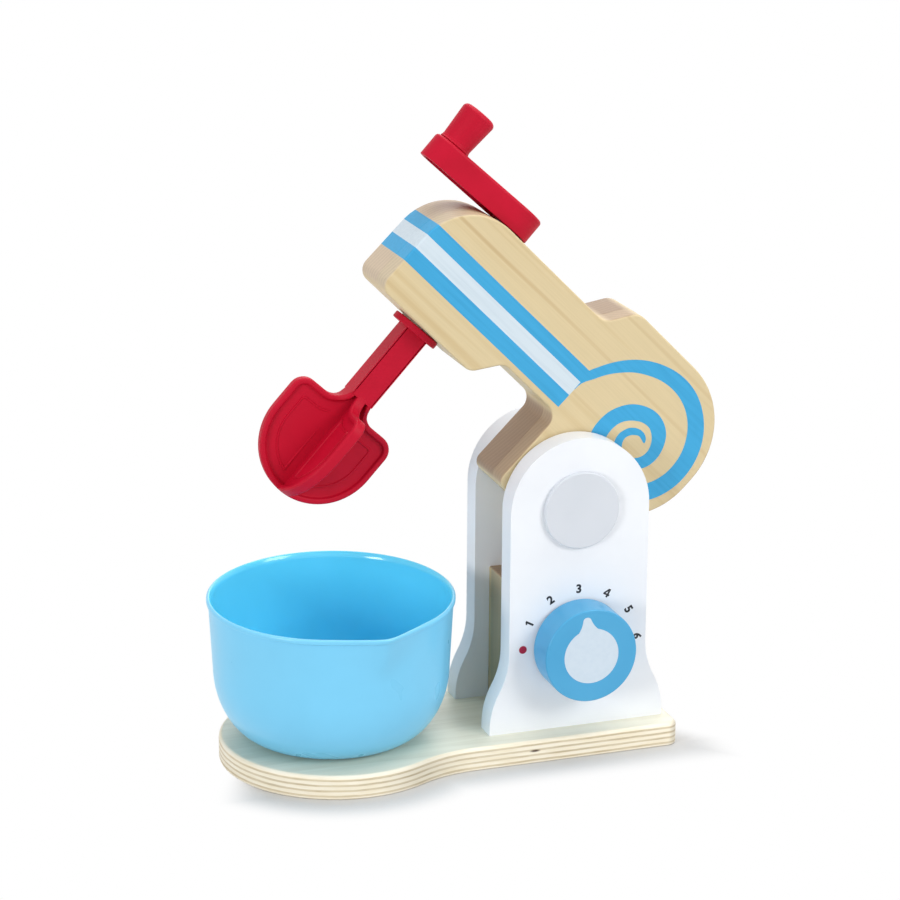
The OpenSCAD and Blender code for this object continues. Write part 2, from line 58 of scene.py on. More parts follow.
HEAD_RAISE = math.radians(45)
DRIVE_LEAN = math.radians(2.5)
CRANK_TURN = math.radians(-8)
PIVOT = Vector(joints["head_tilt"]["pos_m"])
CHIN = Vector(joints["crank_spin"]["pos_m"])
GRIP = Vector(joints["grip_spin"]["pos_m"])
DIAL = Vector(joints["dial_turn"]["pos_m"])
in_head = Matrix.Translation(PIVOT) @ Matrix.Rotation(HEAD_RAISE, 4, "Y")
on_crank = (
    Matrix.Translation(CHIN)
    @ Matrix.Rotation(HEAD_RAISE - DRIVE_LEAN, 4, "Y")
    @ Matrix.Rotation(CRANK_TURN, 4, "Z")
)
on_grip = Matrix.Translation(GRIP) @ on_crank.to_3x3().to_4x4()

# Materials


def colour(code):
    """An sRGB hex code as the linear colour that a socket takes."""
    parts = [int(code[i : i + 2], 16) / 255 for i in (1, 3, 5)]
    return [c / 12.92 if c <= 0.04045 else ((c + 0.055) / 1.055) ** 2.4 for c in parts] + [1.0]


def cleared(owner):
    """The empty node tree of a material or a world."""
    owner.use_nodes = True
    owner.node_tree.nodes.clear()
    return owner.node_tree


def add(tree, kind, inputs=None, stops=(), **settings):
    """Adds a shader node with its settings, and sets or links its inputs. A node given as an
    input is linked by its first output; stops are a ramp's positions and hex colours."""
    made = tree.nodes.new("ShaderNode" + kind)
    for name, value in settings.items():
        setattr(made, name, value)
    for i, (position, code) in enumerate(stops):
        elements = made.color_ramp.elements
        element = elements[i] if i < 2 else elements.new(1.0)
        element.position = position
        element.color = colour(code)
    for key, value in (inputs or {}).items():
        if isinstance(value, bpy.types.Node):
            value = value.outputs[0]
        if isinstance(value, bpy.types.NodeSocket):
            tree.links.new(value, made.inputs[key])
        else:
            made.inputs[key].default_value = value
    return made


# Spacing of the late wood's lines, and the height of one of them above the pivot, in mm
LATE_STEP = 22.5
LATE_FIRST = 61.5


def lacquered_pine(name, place, turn, heart, face_tone, end_pale, end_dark):
    """Planed pine under clear lacquer: pale honey faces with faint streaks and a thin darker
    line of late wood now and then, browner end grain with faint growth rings 3 mm apart.
    place and turn set the board's own axes, with the grain along its X; heart is where the
    rings are centred across the board; face_tone is the colour between the streaks; end_pale
    is the end grain at the head's nose and end_dark that of the rest, whose darker tone is
    partly painted shade."""
    material = bpy.data.materials.new(name)
    tree = cleared(material)
    where = add(tree, "TexCoord")
    board, facing = [
        add(
            tree,
            "Mapping",
            {"Vector": where.outputs[kind], "Location": start, "Rotation": turn},
            vector_type="TEXTURE",
        )
        for kind, start in (("Object", place), ("Normal", (0, 0, 0)))
    ]
    # Streaks 7 mm wide and 25 cm long, fibres under a millimetre wide
    streak_at = add(tree, "Mapping", {"Vector": board, "Scale": (4, 140, 140)})
    streak = add(
        tree,
        "TexNoise",
        {"Vector": streak_at, "Scale": 1.0, "Detail": 3.0, "Roughness": 0.5, "Distortion": 0.3},
    )
    fibre_at = add(tree, "Mapping", {"Vector": board, "Scale": (30, 1400, 1400)})
    fibre = add(tree, "TexNoise", {"Vector": fibre_at, "Scale": 1.0, "Detail": 2.0})
    pale = add(
        tree,
        "ValToRGB",
        {"Fac": streak},
        stops=((0.28, "#D4BE92"), (0.44, face_tone), (0.6, face_tone), (0.76, "#D6C196")),
    )
    # Late wood: a line 1 mm wide every 22.5 mm, clearest towards the head's nose and top
    late_at = add(tree, "Mapping", {"Vector": board, "Scale": (0.12, 1, 1)})
    late = add(
        tree,
        "TexWave",
        {
            "Vector": late_at,
            "Scale": math.tau / (20 * LATE_STEP * MM),
            "Distortion": 0.9,
            "Detail": 2.0,
            "Detail Scale": 3.0,
            "Phase Offset": math.pi - math.tau * LATE_FIRST / LATE_STEP,
        },
        bands_direction="Z",
    )
    line = add(tree, "MapRange", {"Value": late, "From Min": 0.975, "From Max": 1.0})
    along = add(tree, "SeparateXYZ", {"Vector": board})
    clear = add(
        tree,
        "MapRange",
        {"Value": along, "From Min": -0.05, "From Max": -0.12, "To Min": 0.28, "To Max": 0.65},
    )
    high = add(
        tree,
        "MapRange",
        {"Value": along.outputs["Z"], "From Min": 25 * MM, "From Max": 45 * MM, "To Min": 0.3},
    )
    clear_high = add(tree, "Math", {0: clear, 1: high}, operation="MULTIPLY")
    line_share = add(tree, "Math", {0: line, 1: clear_high}, operation="MULTIPLY")
    late_brown = colour("#C2A577")
    face = add(tree, "Mix", {0: line_share, 6: pale, 7: late_brown}, data_type="RGBA").outputs[2]
    ring_at = add(tree, "Mapping", {"Vector": board, "Location": heart})
    rings = add(
        tree,
        "TexWave",
        {"Vector": ring_at, "Scale": 105.0, "Distortion": 1.6, "Detail": 2.0, "Detail Scale": 60.0},
        wave_type="RINGS",
        rings_direction="X",
        wave_profile="SAW",
    )
    # Painted shade in part: the end grain darkens away from the nose, towards the neck and the hump
    nose = add(tree, "MapRange", {"Value": along, "From Min": -0.05, "From Max": -0.12})
    end_tone = add(tree, "ValToRGB", {"Fac": nose}, stops=((0.0, end_dark), (1.0, end_pale)))
    ring_shade = add(tree, "MapRange", {"Value": rings, "To Min": 1.03, "To Max": 0.86})
    end = add(tree, "HueSaturation", {"Color": end_tone, "Value": ring_shade})
    facing_grain = add(tree, "SeparateXYZ", {"Vector": facing})
    endness = add(tree, "Math", {0: facing_grain}, operation="ABSOLUTE")
    end_share = add(
        tree,
        "MapRange",
        {"Value": endness, "From Min": 0.3, "From Max": 0.85},
        interpolation_type="SMOOTHSTEP",
    )
    wood = add(tree, "Mix", {0: end_share, 6: face, 7: end}, data_type="RGBA").outputs[2]
    shade = add(
        tree,
        "MapRange",
        {"Value": fibre, "From Min": 0.3, "From Max": 0.7, "To Min": 0.955, "To Max": 1.0},
    )
    tint = add(tree, "HueSaturation", {"Color": wood, "Value": shade})
    grain = add(tree, "Bump", {"Height": fibre, "Distance": 0.04 * MM})
    shader = add(
        tree,
        "BsdfPrincipled",
        {
            "Base Color": tint,
            "Normal": grain,
            "Roughness": 0.46,
            "Specular IOR Level": 0.22,
            "Coat Weight": 0.05,
            "Coat Roughness": 0.3,
        },
    )
    add(tree, "OutputMaterial", {"Surface": shader})
    return material


def printed_ink(name, code, faded, place=(0, 0, 0), turn=(0, 0, 0), fibres=(400, 400, 400)):
    """Printed ink on wood: flat satin colour in which the fibres below still show a little.
    fibres are their numbers to a metre along the board's axes."""
    material = bpy.data.materials.new(name)
    tree = cleared(material)
    where = add(tree, "TexCoord")
    board = add(
        tree,
        "Mapping",
        {"Vector": where.outputs["Object"], "Location": place, "Rotation": turn},
        vector_type="TEXTURE",
    )
    fibre_at = add(tree, "Mapping", {"Vector": board, "Scale": fibres})
    fibre = add(tree, "TexNoise", {"Vector": fibre_at, "Scale": 1.0, "Detail": 3.0})
    tint = add(tree, "ValToRGB", {"Fac": fibre}, stops=((0.3, faded), (0.6, code)))
    grain = add(tree, "Bump", {"Height": fibre, "Distance": 0.02 * MM})
    shader = add(
        tree,
        "BsdfPrincipled",
        {"Base Color": tint, "Normal": grain, "Roughness": 0.42, "Specular IOR Level": 0.3},
    )
    add(tree, "OutputMaterial", {"Surface": shader})
    return material


def sprayed_paint(name, code, worn, roughness, coat):
    """Sprayed lacquer paint on wood: smooth and satin, with an orange peel of about 3 mm
    and barely uneven tone."""
    material = bpy.data.materials.new(name)
    tree = cleared(material)
    place = add(tree, "TexCoord").outputs["Object"]
    cloud = add(tree, "TexNoise", {"Vector": place, "Scale": 28.0, "Detail": 3.0})
    tint = add(tree, "ValToRGB", {"Fac": cloud}, stops=((0.35, worn), (0.62, code)))
    peel = add(tree, "TexNoise", {"Vector": place, "Scale": 300.0, "Detail": 1.0})
    gloss = add(
        tree,
        "MapRange",
        {
            "Value": peel,
            "From Min": 0.3,
            "From Max": 0.7,
            "To Min": roughness - 0.03,
            "To Max": roughness + 0.03,
        },
    )
    dimples = add(tree, "Bump", {"Height": peel, "Distance": 0.005 * MM})
    shader = add(
        tree,
        "BsdfPrincipled",
        {
            "Base Color": tint,
            "Roughness": gloss,
            "Normal": dimples,
            "Specular IOR Level": 0.3,
            "Coat Weight": coat,
            "Coat Roughness": 0.22,
        },
    )
    add(tree, "OutputMaterial", {"Surface": shader})
    return material


def moulded_plastic(name, code, deep, roughness, grit, shine):
    """Injection-moulded plastic: even colour, soft gloss, with the faint grit of the mould's
    surface and slow flow marks."""
    material = bpy.data.materials.new(name)
    tree = cleared(material)
    place = add(tree, "TexCoord").outputs["Object"]
    flow = add(tree, "TexNoise", {"Vector": place, "Scale": 45.0, "Detail": 2.0, "Distortion": 0.6})
    tint = add(tree, "ValToRGB", {"Fac": flow}, stops=((0.3, deep), (0.65, code)))
    # Grit of about 1 mm, coarser than the mould's own so that it shows
    grain = add(tree, "TexNoise", {"Vector": place, "Scale": 900.0, "Detail": 2.0})
    gloss = add(
        tree,
        "MapRange",
        {
            "Value": flow,
            "From Min": 0.3,
            "From Max": 0.7,
            "To Min": roughness - 0.03,
            "To Max": roughness + 0.03,
        },
    )
    bumps = add(tree, "Bump", {"Height": grain, "Distance": grit})
    shader = add(
        tree,
        "BsdfPrincipled",
        {"Base Color": tint, "Roughness": gloss, "Normal": bumps, "Specular IOR Level": shine},
    )
    add(tree, "OutputMaterial", {"Surface": shader})
    return material


BASE_T = 12
PLIES = 9


def plywood_edge():
    """Sawn and sanded plywood edge under clear lacquer: nine plies, the long-grain ones
    cream and the end-grain ones between them tan, each 1.3 mm thick."""
    material = bpy.data.materials.new("sanded_plywood_edge")
    tree = cleared(material)
    where = add(tree, "TexCoord")
    place = where.outputs["Object"]
    wander = add(tree, "TexNoise", {"Vector": place, "Scale": 22.0, "Detail": 2.0})
    height = add(tree, "SeparateXYZ", {"Vector": place})
    lift = add(
        tree,
        "Math",
        {0: wander, 1: 0.5 * MM, 2: height.outputs["Z"]},
        operation="MULTIPLY_ADD",
    )
    ply = BASE_T * MM / PLIES
    turns = add(tree, "Math", {0: lift, 1: math.pi / ply}, operation="MULTIPLY")
    swing = add(tree, "Math", {0: turns}, operation="SINE")
    band = add(
        tree,
        "MapRange",
        {"Value": swing, "From Min": -0.9, "From Max": 0.1},
        interpolation_type="SMOOTHSTEP",
    )
    # Short dashes of end grain along the tan plies
    dash_at = add(tree, "Mapping", {"Vector": place, "Scale": (60, 60, 900)})
    dash = add(
        tree,
        "TexNoise",
        {"Vector": dash_at, "Scale": 1.0, "Detail": 4.0, "Roughness": 0.65},
    )
    tan = add(tree, "ValToRGB", {"Fac": dash}, stops=((0.3, "#BBA783"), (0.55, "#DDCEAF")))
    cream = add(tree, "ValToRGB", {"Fac": dash}, stops=((0.3, "#F3E7CB"), (0.6, "#FBF3E0")))
    plies = add(tree, "Mix", {0: band, 6: tan, 7: cream}, data_type="RGBA").outputs[2]
    # Painted shade: the faces that look along +X, the end behind the uprights, are darkened
    facing = add(tree, "SeparateXYZ", {"Vector": where.outputs["Normal"]})
    painted_end_shade = add(
        tree,
        "MapRange",
        {"Value": facing, "From Min": 0.05, "From Max": 0.6, "To Min": 1.0, "To Max": 0.74},
    )
    toned = add(tree, "HueSaturation", {"Color": plies, "Value": painted_end_shade})
    # A small gap in one of the plies, 5 mm long, painted dark brown as the shade inside it
    gap_at = add(
        tree,
        "Mapping",
        {
            "Vector": place,
            "Location": (34.6 * MM, -43.5 * MM, 6.6 * MM),
            "Scale": (3.6 * MM, 6 * MM, 0.9 * MM),
        },
        vector_type="TEXTURE",
    )
    reach = add(tree, "VectorMath", {0: gap_at}, operation="LENGTH")
    gap = add(
        tree,
        "MapRange",
        {"Value": reach.outputs["Value"], "From Min": 1.0, "From Max": 0.25},
        interpolation_type="SMOOTHSTEP",
    )
    tint = add(tree, "Mix", {0: gap, 6: toned, 7: colour("#54402F")}, data_type="RGBA").outputs[2]
    pores = add(tree, "Bump", {"Height": dash, "Distance": 0.08 * MM})
    shader = add(tree, "BsdfPrincipled", {"Base Color": tint, "Normal": pores, "Roughness": 0.5})
    add(tree, "OutputMaterial", {"Surface": shader})
    return material


def plywood_face():
    """Lacquered poplar veneer: pale grey-cream with fine grain along the board."""
    material = bpy.data.materials.new("lacquered_poplar_veneer")
    tree = cleared(material)
    place = add(tree, "TexCoord").outputs["Object"]
    grain_at = add(tree, "Mapping", {"Vector": place, "Scale": (10, 190, 190)})
    grain = add(
        tree,
        "TexNoise",
        {"Vector": grain_at, "Scale": 1.0, "Detail": 5.0, "Roughness": 0.6, "Distortion": 0.5},
    )
    tint = add(
        tree,
        "ValToRGB",
        {"Fac": grain},
        stops=((0.28, "#DDD8C2"), (0.5, "#E9E5D0"), (0.72, "#EEEBD8")),
    )
    pores = add(tree, "Bump", {"Height": grain, "Distance": 0.05 * MM})
    shader = add(
        tree,
        "BsdfPrincipled",
        {
            "Base Color": tint,
            "Normal": pores,
            "Roughness": 0.44,
            "Coat Weight": 0.15,
            "Coat Roughness": 0.35,
        },
    )
    add(tree, "OutputMaterial", {"Surface": shader})
    return material


def plated_steel():
    """Zinc-plated steel: grey metal with a fine brushed unevenness."""
    material = bpy.data.materials.new("zinc_plated_steel")
    tree = cleared(material)
    place = add(tree, "TexCoord").outputs["Object"]
    marks = add(tree, "TexNoise", {"Vector": place, "Scale": 700.0, "Detail": 3.0})
    tint = add(tree, "ValToRGB", {"Fac": marks}, stops=((0.3, "#A9ABAD"), (0.7, "#C4C6C8")))
    gloss = add(tree, "MapRange", {"Value": marks, "To Min": 0.25, "To Max": 0.45})
    shader = add(tree, "BsdfPrincipled", {"Base Color": tint, "Roughness": gloss, "Metallic": 1.0})
    add(tree, "OutputMaterial", {"Surface": shader})
    return material


PINE = "#DBC89F"
HEAD_TURN = (0, HEAD_RAISE, 0)
HEAD_FIBRES = (25, 700, 700)
pine_front = lacquered_pine(
    "lacquered_pine_front", PIVOT, HEAD_TURN, (0, 0.17, 0.03), PINE, "#D4C2A5", "#B69D80"
)
pine_rear = lacquered_pine(
    "lacquered_pine_rear", PIVOT, HEAD_TURN, (0, -0.15, -0.05), PINE, "#D4C0A7", "#A58C74"
)
# Painted shade: a darker copy of the pine, its face and end tones standing in for the shade between
# the uprights
shaded_pine_block = lacquered_pine(
    "lacquered_pine_block_shaded",
    (0, 0, 0),
    (0, math.radians(90), 0),
    (0, 0.04, -0.02),
    "#B3A587",
    "#BFA88E",
    "#A58C74",
)
ink_blue = printed_ink("screen_ink_blue", "#3FA6D8", "#3A9FD1", PIVOT, HEAD_TURN, HEAD_FIBRES)
ink_white = printed_ink("screen_ink_white", "#D2DFE8", "#CAD8E2", PIVOT, HEAD_TURN, HEAD_FIBRES)
ink_black = printed_ink("pad_ink_black", "#26282C", "#303238")
ink_red = printed_ink("pad_ink_red", "#A8203F", "#9C1D3A")
ink_pointer = printed_ink("pad_ink_pale", "#CFDDE9", "#CBDAE7")
white_paint = sprayed_paint("sprayed_white_paint", "#F1F4F8", "#EDF0F5", 0.36, 0.1)
cap_paint = sprayed_paint("sprayed_grey_white_paint", "#D8DCE3", "#D3D8DF", 0.36, 0.1)
dial_paint = sprayed_paint("sprayed_blue_paint", "#50A8D6", "#4AA2D1", 0.34, 0.06)
red_plastic = moulded_plastic("moulded_red_abs", "#C00A2D", "#B80929", 0.52, 0.006 * MM, 0.18)
bowl_plastic = moulded_plastic(
    "moulded_blue_polypropylene", "#7CD1F7", "#7ACFF5", 0.3, 0.001 * MM, 0.5
)
# Painted light: a second copy of the bowl's plastic for the inside, polished, and brighter and more
# saturated in blue to stand in for the light that passes through the wall and bounces inside
bowl_inside_lit = moulded_plastic(
    "polished_blue_polypropylene_lit", "#66DAFB", "#63D8F9", 0.14, 0.001 * MM, 0.5
)
white_nylon = moulded_plastic("moulded_white_nylon", "#E6E4DA", "#DCD9CD", 0.5, 0.02 * MM, 0.5)
black_nylon = moulded_plastic("moulded_black_nylon", "#2B2A2A", "#242323", 0.5, 0.02 * MM, 0.5)
steel = plated_steel()
ply_edge = plywood_edge()
ply_face = plywood_face()

# Building pieces


def piece(name, bm, body, materials, replaces=(), smooth=40):
    """Makes a mesh object of bm, in place, that rides on a body."""
    mesh = bpy.data.meshes.new(name)
    for face in bm.faces:
        face.smooth = True
    bm.to_mesh(mesh)
    bm.free()
    mesh.set_sharp_from_angle(angle=math.radians(smooth))
    for material in materials:
        mesh.materials.append(material)
    made = bpy.data.objects.new(name, mesh)
    bpy.context.scene.collection.objects.link(made)
    normals = made.modifiers.new("even_shading", "WEIGHTED_NORMAL")
    normals.keep_sharp = True
    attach(made, body)
    if replaces:
        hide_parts(*replaces)
    return made


def copy_of(node):
    """A CAD node's mesh with its loose triangles joined into whole faces."""
    bm = bmesh.new()
    bm.from_mesh(nodes[node].data)
    bmesh.ops.remove_doubles(bm, verts=bm.verts, dist=1e-6)
    bmesh.ops.dissolve_limit(bm, angle_limit=math.radians(0.4), verts=bm.verts, edges=bm.edges)
    return bm


# Angle in radians from which an edge counts as sharp
SHARP = 0.7


def rims(bm, reach, keep):
    """Sharp edges in runs longer than reach, of which keep accepts every corner."""
    sharp = {e for e in bm.edges if e.is_manifold and e.calc_face_angle() > SHARP}
    chosen = []
    while sharp:
        run, rest = set(), [sharp.pop()]
        while rest:
            edge = rest.pop()
            run.add(edge)
            for vert in edge.verts:
                linked = [e for e in vert.link_edges if e in sharp]
                sharp.difference_update(linked)
                rest.extend(linked)
        corners = [v.co for e in run for v in e.verts]
        size = max(max(c[i] for c in corners) - min(c[i] for c in corners) for i in range(3))
        if size > reach:
            chosen.extend(e for e in run if all(keep(v.co) for v in e.verts))
    return chosen


def ease(bm, edges, radius, segments=4):
    """Rounds edges over, as a router does."""
    bmesh.ops.bevel(
        bm,
        geom=edges,
        offset=radius,
        offset_type="OFFSET",
        segments=segments,
        profile=0.5,
        affect="EDGES",
        clamp_overlap=True,
        material=-1,
    )


def eased(name, node, body, materials, radius, reach, keep=lambda c: True):
    """A CAD node with its long edges rounded over."""
    bm = copy_of(node)
    ease(bm, rims(bm, reach, keep), radius)
    return piece(name, bm, body, materials, [node])


# Base and uprights, with the radii in mm of their rounded edges

TOP_EASE = 2.2
UNDER_EASE = 0.9
UPRIGHT_EASE = 1.5
SMALL_EASE = 0.8
base = copy_of("base_board")
ease(base, rims(base, 100 * MM, lambda c: c.z > BASE_T * MM / 2), TOP_EASE * MM)
ease(base, rims(base, 100 * MM, lambda c: c.z < BASE_T * MM / 2), UNDER_EASE * MM)
for face in base.faces:
    face.material_index = 0 if abs(face.normal.z) < 0.98 else 1
piece("plywood_base", base, "stand", [ply_edge, ply_face], ["base_board"])

for side in ("front", "rear"):
    eased(
        f"{side}_upright_board",
        f"{side}_upright",
        "stand",
        [white_paint],
        UPRIGHT_EASE * MM,
        80 * MM,
    )
    eased(
        f"{side}_pivot_cap",
        f"{side}_cap",
        "stand",
        [cap_paint],
        SMALL_EASE * MM,
        20 * MM,
    )
eased("wooden_block", "spacer_block", "stand", [shaded_pine_block], SMALL_EASE * MM, 30 * MM)

# Head

# Heights of the stripe's four lines above the pivot and how far before it they end, in mm
STRIPE_LEVELS = (52.0, 45.05, 36.85, 29.05)
STRIPE_END = 39.4
HEAD_EASE = 1.3
GLUE_EASE = 0.4
glue_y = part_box("head_rear_board")[0].y


def head_board(name, node, material, outer):
    """A board of the head with its outer edge eased and the stripe split off as ink."""
    bm = copy_of(node)
    ease(bm, rims(bm, 100 * MM, lambda c: abs(c.y - outer) < 0.1 * MM), HEAD_EASE * MM)
    ease(bm, rims(bm, 100 * MM, lambda c: abs(c.y - glue_y) < 0.1 * MM), GLUE_EASE * MM, 1)
    out_of_head = in_head.inverted()
    for level in STRIPE_LEVELS:
        bmesh.ops.bisect_plane(
            bm,
            geom=bm.verts[:] + bm.edges[:] + bm.faces[:],
            plane_co=in_head @ Vector((0, 0, level * MM)),
            plane_no=in_head.to_3x3() @ Vector((0, 0, 1)),
        )
    bmesh.ops.bisect_plane(
        bm,
        geom=bm.verts[:] + bm.edges[:] + bm.faces[:],
        plane_co=in_head @ Vector((-STRIPE_END * MM, 0, 0)),
        plane_no=in_head.to_3x3() @ Vector((1, 0, 0)),
    )
    for face in bm.faces:
        at = out_of_head @ face.calc_center_median() / MM
        if at.x < -STRIPE_END and STRIPE_LEVELS[3] < at.z < STRIPE_LEVELS[0]:
            face.material_index = 2 if STRIPE_LEVELS[2] < at.z < STRIPE_LEVELS[1] else 1
    return piece(name, bm, "head", [material, ink_blue, ink_white], [node])


head_board("head_board_front", "head_front_board", pine_front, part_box("head_front_board")[0].y)
head_board("head_board_rear", "head_rear_board", pine_rear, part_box("head_rear_board")[1].y)

# Spiral that the upper stripe runs into: angle in degrees and radius in mm of both its edges
SPIRAL_CENTRE = Vector((2.82, 0, 42.1))
SPIRAL_OUTER = (
    (-2, 42.4), (4, 42.5), (9, 43.2), (13, 44.2), (18, 43.3), (24, 42.6), (30, 42.0), (36, 41.55),
    (42, 41.15), (48, 40.8), (54, 40.5), (60, 40.2), (72, 39.85), (84, 39.7), (96, 39.5),
    (108, 39.1), (120, 38.5), (132, 37.9), (144, 37.15), (156, 36.35), (168, 35.5), (180, 34.7),
    (192, 33.8), (204, 32.9), (225, 31.2), (270, 27.6), (315, 24.0), (340, 22.1), (352, 21.2),
    (366, 20.4), (378, 19.65), (390, 19.1), (402, 18.7), (414, 18.3), (426, 18.05), (444, 18.05),
    (462, 18.05), (480, 17.95), (492, 17.75), (504, 17.35), (516, 17.0), (528, 16.75),
    (540, 16.45), (552, 16.1), (564, 15.6), (585, 14.5), (630, 12.0), (675, 9.6), (700, 8.6),
    (712, 8.1), (726, 7.5), (744, 7.1), (762, 6.75), (780, 6.6), (798, 6.6), (816, 6.75),
    (834, 6.95), (852, 7.05), (864, 6.9), (872, 6.5),
)
SPIRAL_INNER = (
    (-2, 42.1), (3, 41.8), (6, 41.1), (9, 40.2), (12, 39.2), (18, 38.15), (24, 37.2), (30, 36.25),
    (36, 35.45), (42, 34.85), (48, 34.2), (54, 33.55), (60, 33.05), (72, 32.4), (84, 31.8),
    (96, 31.25), (108, 30.6), (120, 29.85), (132, 29.0), (144, 28.1), (156, 27.3), (168, 26.4),
    (180, 25.65), (192, 24.8), (204, 24.0), (225, 22.3), (270, 18.7), (315, 15.2), (340, 13.4),
    (352, 12.7), (366, 12.05), (378, 11.4), (390, 10.8), (402, 10.35), (414, 10.1), (426, 10.1),
    (444, 10.2), (462, 10.4), (480, 10.2), (504, 10.1), (528, 10.1), (540, 10.0), (558, 9.6),
    (585, 8.7), (630, 6.9), (675, 5.1), (700, 4.25), (712, 3.85), (726, 3.45), (744, 3.15),
    (762, 3.0), (780, 3.0), (798, 3.2), (816, 3.75), (834, 4.2), (852, 4.7), (864, 5.4),
    (872, 6.2),
)


def radius_at(table, angle):
    """Radius at an angle, on a smooth curve through a table's points."""
    i = next((k for k in range(1, len(table) - 1) if angle <= table[k][0]), len(table) - 1)
    (a0, r0), (a1, r1) = table[i - 1], table[i]
    before, after = table[max(i - 2, 0)], table[min(i + 1, len(table) - 1)]
    slope0 = (r1 - before[1]) / (a1 - before[0]) * (a1 - a0)
    slope1 = (after[1] - r0) / (after[0] - a0) * (a1 - a0)
    t = (angle - a0) / (a1 - a0)
    return (
        (2 * t**3 - 3 * t**2 + 1) * r0
        + (t**3 - 2 * t**2 + t) * slope0
        + (3 * t**2 - 2 * t**3) * r1
        + (t**3 - t**2) * slope1
    )


def film(bm, thickness):
    """Gives a flat print the thickness of its ink."""
    bmesh.ops.recalc_face_normals(bm, faces=bm.faces)
    bmesh.ops.solidify(bm, geom=bm.faces[:], thickness=thickness)


INK = 0.06 * MM


def spiral_print(name, y, out):
    """The spiral on a face at y that looks along out, 1 or -1 in Y."""
    bm = bmesh.new()
    rail = None
    for angle in range(SPIRAL_OUTER[0][0], SPIRAL_OUTER[-1][0] + 1, 3):
        turn = math.radians(angle)
        arm = Vector((-math.cos(turn), 0, math.sin(turn)))
        radii = [radius_at(table, angle) for table in (SPIRAL_OUTER, SPIRAL_INNER)]
        ends = [SPIRAL_CENTRE + arm * radius for radius in radii]
        if rail is None:
            pair = [bm.verts.new(p) for p in ends]
            rail = bm.edges.new(pair)
        else:
            grown = bmesh.ops.extrude_edge_only(bm, edges=[rail])["geom"]
            rail = next(g for g in grown if isinstance(g, bmesh.types.BMEdge))
            near = sorted(rail.verts, key=lambda v: (v.co - ends[0]).length)
            near[0].co, near[1].co = ends
    bmesh.ops.transform(bm, matrix=in_head @ Matrix.Scale(MM, 4), verts=bm.verts)
    for vert in bm.verts:
        vert.co.y = y + out * INK / 2
    film(bm, INK)
    return piece(name, bm, "head", [ink_blue])


spiral_print("spiral_print_front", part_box("head_front_board")[0].y, -1)
spiral_print("spiral_print_rear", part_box("head_rear_board")[1].y, 1)

# Dial with its pointer and numbers

eased("dial_disc", "dial_knob", "dial", [dial_paint], SMALL_EASE * MM, 30 * MM)

face_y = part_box("front_upright")[0].y
dial_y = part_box("dial_knob")[0].y
POINTER_AT = math.radians(98)
POINTER_R = 14.0
NUB_SPREAD = math.radians(21)
NUB_REACH = 20.2
NUB_TIP_R = 2.2
TIP_SHARE = 0.4


def face_print(name, bm, y, body, material):
    """Flat artwork drawn in X and Y, stood up on a face that looks to -Y."""
    bmesh.ops.transform(bm, matrix=Matrix.Scale(MM, 4), verts=bm.verts)
    bmesh.ops.rotate(bm, verts=bm.verts, matrix=Matrix.Rotation(math.radians(90), 3, "X"))
    bmesh.ops.translate(bm, verts=bm.verts, vec=(DIAL.x, y - INK / 2, DIAL.z))
    film(bm, INK)
    return piece(name, bm, body, [material])


def pointer_outline():
    """A round pointer whose edge is drawn out into a nub with hollow flanks and a round tip."""
    bm = bmesh.new()
    disc = bmesh.ops.create_circle(bm, cap_ends=True, radius=POINTER_R, segments=240)["verts"]
    root = Vector((POINTER_R * math.cos(NUB_SPREAD), POINTER_R * math.sin(NUB_SPREAD)))
    tip_middle = Vector((NUB_REACH - NUB_TIP_R, 0))
    tip_end = math.radians(62)
    shoulder = tip_middle + NUB_TIP_R * Vector((math.cos(tip_end), math.sin(tip_end)))
    hollow = (root + shoulder) / 2 - Vector((0.5, 0.7))
    for vert in disc:
        off = abs(math.atan2(vert.co.y, vert.co.x)) / NUB_SPREAD
        if off >= 1:
            continue
        if off < TIP_SHARE:
            turn = tip_end * off / TIP_SHARE
            at = tip_middle + NUB_TIP_R * Vector((math.cos(turn), math.sin(turn)))
        else:
            t = (off - TIP_SHARE) / (1 - TIP_SHARE)
            at = shoulder * (1 - t) ** 2 + hollow * 2 * t * (1 - t) + root * t**2
        vert.co.xy = at.x, math.copysign(at.y, vert.co.y)
    bmesh.ops.rotate(bm, verts=bm.verts, matrix=Matrix.Rotation(POINTER_AT, 3, "Z"))
    return bm


face_print("dial_pointer_print", pointer_outline(), dial_y, "dial", ink_pointer)

# Bearing in degrees and distance from the dial's middle of each number
NUMBERS = ((150.8, 29.3), (120.8, 29.3), (90.8, 29.3), (60.8, 29.3), (31.5, 30.4), (2.6, 30.8))
NUMBER_SHIFT = (0.35, -1.1, 0)
NUMBER_H = 5.9
# Outlines of a one with its flag and of a four with an open corner, in mm
DRAWN = {
    1: [[(-0.5, -2), (0.5, -2), (0.5, 2.5), (-0.35, 2.5), (-1.5, 1.7), (-1.2, 1.0), (-0.5, 1.4)]],
    4: [
        [
            (0.25, -2), (1.25, -2), (1.25, -1.05), (1.8, -1.05), (1.8, -0.15), (1.25, -0.15),
            (1.25, 2.5), (0.1, 2.5), (-1.7, -0.3), (-1.7, -1.05), (0.25, -1.05),
        ],
        [(0.3, -0.15), (0.3, 1.25), (-0.65, -0.15)],
    ],
}


